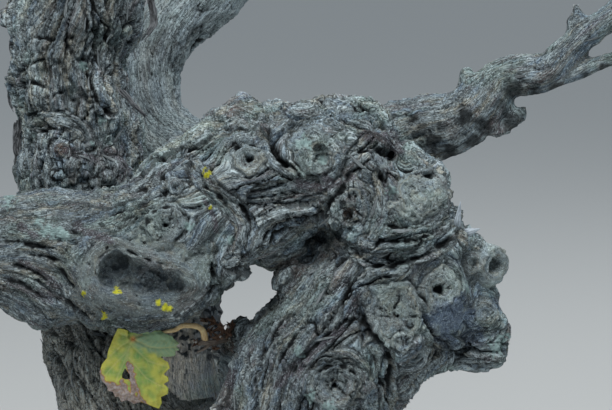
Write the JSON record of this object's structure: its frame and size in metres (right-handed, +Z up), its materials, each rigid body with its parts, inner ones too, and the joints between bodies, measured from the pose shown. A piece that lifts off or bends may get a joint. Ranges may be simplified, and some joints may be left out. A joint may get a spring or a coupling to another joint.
{
  "type": "grapevine",
  "caption": "Old gnarled bush vine with a short flared trunk, a knotted limb that arches back over a small gap, upright and back limbs, pruned spurs with bare canes, and one small leaf.",
  "frame": {"origin": "centre of the flat cut under the trunk, at ground level", "axes": "+Z up, -Y towards the front, where the arched limb stands, and +X to the right as seen from the front"},
  "size_m": [1.0801, 0.6655, 1.0262],
  "materials": {
    "bark": "matte, deeply furrowed grey bark",
    "dead_wood": "smooth weathered blue-grey wood",
    "cane_bark": "matte, finely fibrous",
    "twigs": "matte grey-brown cane",
    "leaf": "soft satin yellow-green"
  },
  "bodies": {
    "root": {"trunk": "bark", "front_stem": "bark", "front_head": "bark", "front_arm": "bark", "left_limb": "bark", "dead_stub": "dead_wood", "back_stem": "bark", "back_arm": "bark", "right_arm": "bark", "right_cane": "cane_bark", "front_arm_twigs": "twigs", "left_limb_twigs": "twigs", "back_arm_twigs": "twigs", "right_arm_twigs": "twigs", "leaf_shoot": "leaf"}
  },
  "joints": []
}
